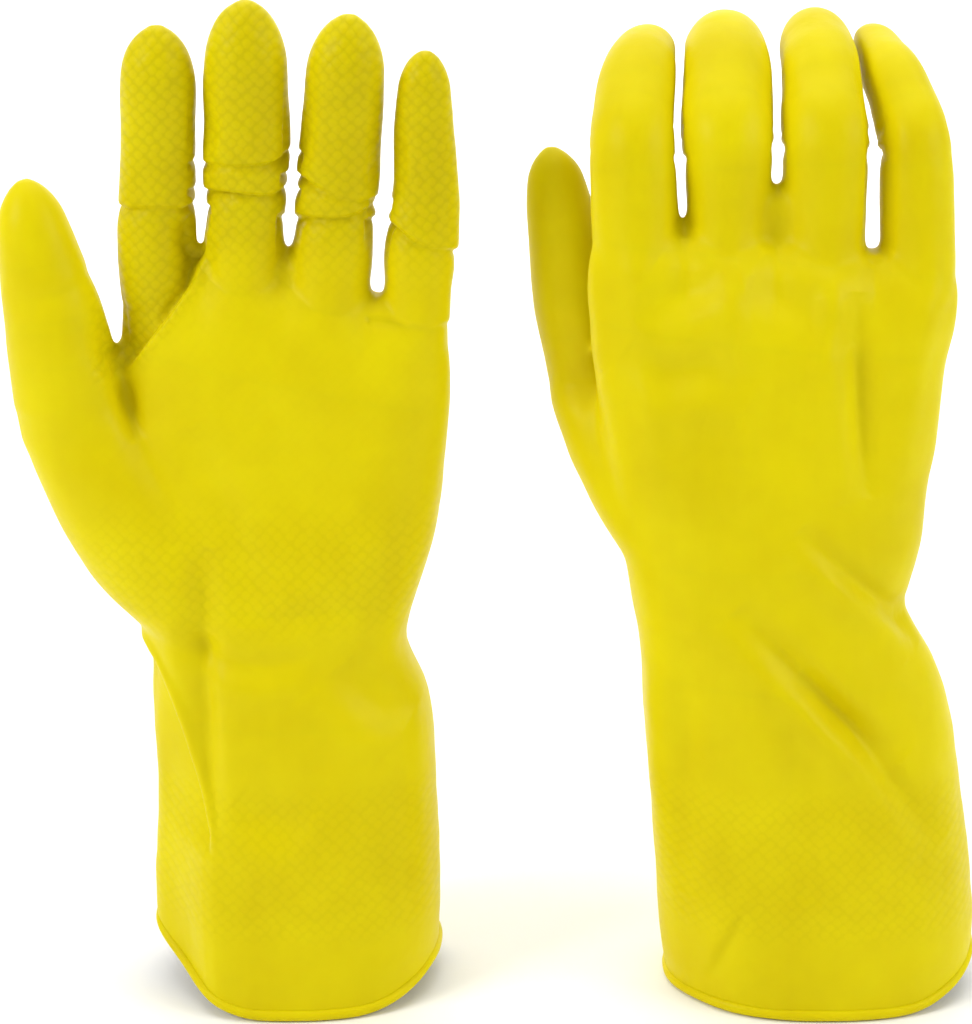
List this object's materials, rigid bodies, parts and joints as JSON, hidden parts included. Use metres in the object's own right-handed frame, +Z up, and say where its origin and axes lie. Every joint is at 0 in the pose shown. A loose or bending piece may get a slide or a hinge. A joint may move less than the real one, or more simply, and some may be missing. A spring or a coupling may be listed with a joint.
{
  "type": "rubber gloves",
  "caption": "Pair of long yellow household rubber gloves with rolled rims, standing on open cuffs, for wet cleaning work.",
  "frame": {"origin": "middle of the pair's box, on the surface that the rims stand on", "axes": "+Z up along the fingers, -Y towards the viewer (the left glove's palm and the right glove's back face -Y), +X from the left glove to the right glove"},
  "size_m": [0.2963, 0.089, 0.3046],
  "materials": {
    "latex": "satin, dipped natural latex with a fine embossed grip",
    "latex_soft": "satin, dipped natural latex where the glove bends",
    "latex_rim": "satin, rolled latex",
    "flock": "matt, short cotton flock"
  },
  "bodies": {
    "left_cuff": {"left_cuff": "latex", "left_rolled_rim": "latex_rim", "left_cuff_lining": "flock", "left_wrist_band": "latex_soft"},
    "left_palm": {"left_palm": "latex", "left_knuckle_band": "latex_soft", "left_thumb_root_band": "latex_soft"},
    "left_knuckles": {"left_knuckles": "latex", "left_index_middle_band": "latex_soft", "left_middle_middle_band": "latex_soft", "left_ring_middle_band": "latex_soft", "left_little_middle_band": "latex_soft"},
    "left_thumb_base": {"left_thumb_base": "latex", "left_thumb_end_band": "latex_soft"},
    "left_thumb_tip": {"left_thumb_tip": "latex"},
    "left_index_middle": {"left_index_middle": "latex", "left_index_end_band": "latex_soft"},
    "left_index_tip": {"left_index_tip": "latex"},
    "left_middle_middle": {"left_middle_middle": "latex", "left_middle_end_band": "latex_soft"},
    "left_middle_tip": {"left_middle_tip": "latex"},
    "left_ring_middle": {"left_ring_middle": "latex", "left_ring_end_band": "latex_soft"},
    "left_ring_tip": {"left_ring_tip": "latex"},
    "left_little_middle": {"left_little_middle": "latex", "left_little_end_band": "latex_soft"},
    "left_little_tip": {"left_little_tip": "latex"},
    "right_cuff": {"right_cuff": "latex", "right_rolled_rim": "latex_rim", "right_cuff_lining": "flock", "right_wrist_band": "latex_soft"},
    "right_palm": {"right_palm": "latex", "right_knuckle_band": "latex_soft", "right_thumb_root_band": "latex_soft"},
    "right_knuckles": {"right_knuckles": "latex", "right_index_middle_band": "latex_soft", "right_middle_middle_band": "latex_soft", "right_ring_middle_band": "latex_soft", "right_little_middle_band": "latex_soft"},
    "right_thumb_base": {"right_thumb_base": "latex", "right_thumb_end_band": "latex_soft"},
    "right_thumb_tip": {"right_thumb_tip": "latex"},
    "right_index_middle": {"right_index_middle": "latex", "right_index_end_band": "latex_soft"},
    "right_index_tip": {"right_index_tip": "latex"},
    "right_middle_middle": {"right_middle_middle": "latex", "right_middle_end_band": "latex_soft"},
    "right_middle_tip": {"right_middle_tip": "latex"},
    "right_ring_middle": {"right_ring_middle": "latex", "right_ring_end_band": "latex_soft"},
    "right_ring_tip": {"right_ring_tip": "latex"},
    "right_little_middle": {"right_little_middle": "latex", "right_little_end_band": "latex_soft"},
    "right_little_tip": {"right_little_tip": "latex"}
  },
  "joints": [
    {"name": "left_wrist_flex", "type": "hinge", "parent": "left_cuff", "child": "left_palm", "pos_m": [-0.0702, -0.0066, 0.11], "axis": [1, 0, 0], "range_deg": [-35, 40], "stiffness_Nm_per_rad": 1.5, "deforming": ["left_wrist_band"]},
    {"name": "left_knuckle_flex", "type": "hinge", "parent": "left_palm", "child": "left_knuckles", "pos_m": [-0.0662, -0.0066, 0.207], "axis": [0.9781, 0, -0.2079], "range_deg": [-20, 45], "stiffness_Nm_per_rad": 0.8, "deforming": ["left_knuckle_band"]},
    {"name": "left_thumb_base_flex", "type": "hinge", "parent": "left_palm", "child": "left_thumb_base", "pos_m": [-0.13123, -0.01414, 0.19689], "axis": [0.6957, 0.7071, 0.1264], "range_deg": [-20, 10], "stiffness_Nm_per_rad": 0.3, "deforming": ["left_thumb_root_band"]},
    {"name": "left_thumb_end_flex", "type": "hinge", "parent": "left_thumb_base", "child": "left_thumb_tip", "pos_m": [-0.1346, -0.01542, 0.22264], "axis": [0.6957, 0.7071, 0.1264], "range_deg": [-10, 15], "stiffness_Nm_per_rad": 0.15, "deforming": ["left_thumb_end_band"]},
    {"name": "left_index_middle_flex", "type": "hinge", "parent": "left_knuckles", "child": "left_index_middle", "pos_m": [-0.10117, -0.00725, 0.25163], "axis": [0.9996, 0, -0.0279], "range_deg": [-5, 55], "stiffness_Nm_per_rad": 0.15, "deforming": ["left_index_middle_band"]},
    {"name": "left_index_end_flex", "type": "hinge", "parent": "left_index_middle", "child": "left_index_tip", "pos_m": [-0.1005, -0.011, 0.27533], "axis": [0.9996, 0, -0.0279], "range_deg": [-5, 40], "stiffness_Nm_per_rad": 0.08, "deforming": ["left_index_end_band"]},
    {"name": "left_middle_middle_flex", "type": "hinge", "parent": "left_knuckles", "child": "left_middle_middle", "pos_m": [-0.0765, -0.00737, 0.25356], "axis": [0.999, 0, -0.0454], "range_deg": [-5, 55], "stiffness_Nm_per_rad": 0.15, "deforming": ["left_middle_middle_band"]},
    {"name": "left_middle_end_flex", "type": "hinge", "parent": "left_middle_middle", "child": "left_middle_tip", "pos_m": [-0.07534, -0.01144, 0.27922], "axis": [0.999, 0, -0.0454], "range_deg": [-5, 40], "stiffness_Nm_per_rad": 0.08, "deforming": ["left_middle_end_band"]},
    {"name": "left_ring_middle_flex", "type": "hinge", "parent": "left_knuckles", "child": "left_ring_middle", "pos_m": [-0.05012, -0.00739, 0.24926], "axis": [0.9959, 0, -0.0906], "range_deg": [-5, 55], "stiffness_Nm_per_rad": 0.15, "deforming": ["left_ring_middle_band"]},
    {"name": "left_ring_end_flex", "type": "hinge", "parent": "left_ring_middle", "child": "left_ring_tip", "pos_m": [-0.04788, -0.0113, 0.27385], "axis": [0.9959, 0, -0.0906], "range_deg": [-5, 40], "stiffness_Nm_per_rad": 0.08, "deforming": ["left_ring_end_band"]},
    {"name": "left_little_middle_flex", "type": "hinge", "parent": "left_knuckles", "child": "left_little_middle", "pos_m": [-0.02596, -0.00737, 0.24279], "axis": [0.9991, 0, -0.0419], "range_deg": [-5, 55], "stiffness_Nm_per_rad": 0.15, "deforming": ["left_little_middle_band"]},
    {"name": "left_little_end_flex", "type": "hinge", "parent": "left_little_middle", "child": "left_little_tip", "pos_m": [-0.02505, -0.01081, 0.2645], "axis": [0.9991, 0, -0.0419], "range_deg": [-5, 40], "stiffness_Nm_per_rad": 0.08, "deforming": ["left_little_end_band"]},
    {"name": "right_wrist_flex", "type": "hinge", "parent": "right_cuff", "child": "right_palm", "pos_m": [0.0818, -0.0066, 0.122], "axis": [-1, 0, 0], "range_deg": [-35, 40], "stiffness_Nm_per_rad": 1.5, "deforming": ["right_wrist_band"]},
    {"name": "right_knuckle_flex", "type": "hinge", "parent": "right_palm", "child": "right_knuckles", "pos_m": [0.0788, -0.0066, 0.218], "axis": [-0.9945, 0, 0.1045], "range_deg": [-20, 20], "stiffness_Nm_per_rad": 0.8, "deforming": ["right_knuckle_band"]},
    {"name": "right_thumb_base_flex", "type": "hinge", "parent": "right_palm", "child": "right_thumb_base", "pos_m": [0.0231, 0.01601, 0.19786], "axis": [-0.6941, 0.7071, -0.1349], "range_deg": [-20, 20], "stiffness_Nm_per_rad": 0.3, "deforming": ["right_thumb_root_band"]},
    {"name": "right_thumb_end_flex", "type": "hinge", "parent": "right_thumb_base", "child": "right_thumb_tip", "pos_m": [0.01909, 0.01697, 0.22353], "axis": [-0.6941, 0.7071, -0.1349], "range_deg": [-10, 30], "stiffness_Nm_per_rad": 0.15, "deforming": ["right_thumb_end_band"]},
    {"name": "right_index_middle_flex", "type": "hinge", "parent": "right_knuckles", "child": "right_index_middle", "pos_m": [0.03745, -0.00167, 0.26288], "axis": [-0.9863, 0.1564, -0.0517], "range_deg": [-35, 15], "stiffness_Nm_per_rad": 0.15, "deforming": ["right_index_middle_band"]},
    {"name": "right_index_end_flex", "type": "hinge", "parent": "right_index_middle", "child": "right_index_tip", "pos_m": [0.03934, 0.01567, 0.27937], "axis": [-0.9863, 0.1564, -0.0517], "range_deg": [-20, 10], "stiffness_Nm_per_rad": 0.08, "deforming": ["right_index_end_band"]},
    {"name": "right_middle_middle_flex", "type": "hinge", "parent": "right_knuckles", "child": "right_middle_middle", "pos_m": [0.06499, -0.00124, 0.26314], "axis": [-0.9994, 0.0349, 0], "range_deg": [-35, 15], "stiffness_Nm_per_rad": 0.15, "deforming": ["right_middle_middle_band"]},
    {"name": "right_middle_end_flex", "type": "hinge", "parent": "right_middle_middle", "child": "right_middle_tip", "pos_m": [0.06565, 0.01776, 0.28087], "axis": [-0.9994, 0.0349, 0], "range_deg": [-20, 10], "stiffness_Nm_per_rad": 0.08, "deforming": ["right_middle_end_band"]},
    {"name": "right_ring_middle_flex", "type": "hinge", "parent": "right_knuckles", "child": "right_ring_middle", "pos_m": [0.09391, -0.00075, 0.26409], "axis": [-0.9998, -0.0175, 0.0087], "range_deg": [-35, 15], "stiffness_Nm_per_rad": 0.15, "deforming": ["right_ring_middle_band"]},
    {"name": "right_ring_end_flex", "type": "hinge", "parent": "right_ring_middle", "child": "right_ring_tip", "pos_m": [0.09374, 0.01753, 0.28114], "axis": [-0.9998, -0.0175, 0.0087], "range_deg": [-20, 10], "stiffness_Nm_per_rad": 0.08, "deforming": ["right_ring_end_band"]},
    {"name": "right_little_middle_flex", "type": "hinge", "parent": "right_knuckles", "child": "right_little_middle", "pos_m": [0.11923, -0.00044, 0.26396], "axis": [-0.9893, -0.1392, -0.0432], "range_deg": [-35, 15], "stiffness_Nm_per_rad": 0.15, "deforming": ["right_little_middle_band"]},
    {"name": "right_little_end_flex", "type": "hinge", "parent": "right_little_middle", "child": "right_little_tip", "pos_m": [0.11634, 0.01549, 0.27885], "axis": [-0.9893, -0.1392, -0.0432], "range_deg": [-20, 10], "stiffness_Nm_per_rad": 0.08, "deforming": ["right_little_end_band"]},
    {"name": "pair_slide", "type": "slide", "parent": "left_cuff", "child": "right_cuff", "axis": [1, 0, 0], "range_m": [0, 0.12]}
  ]
}
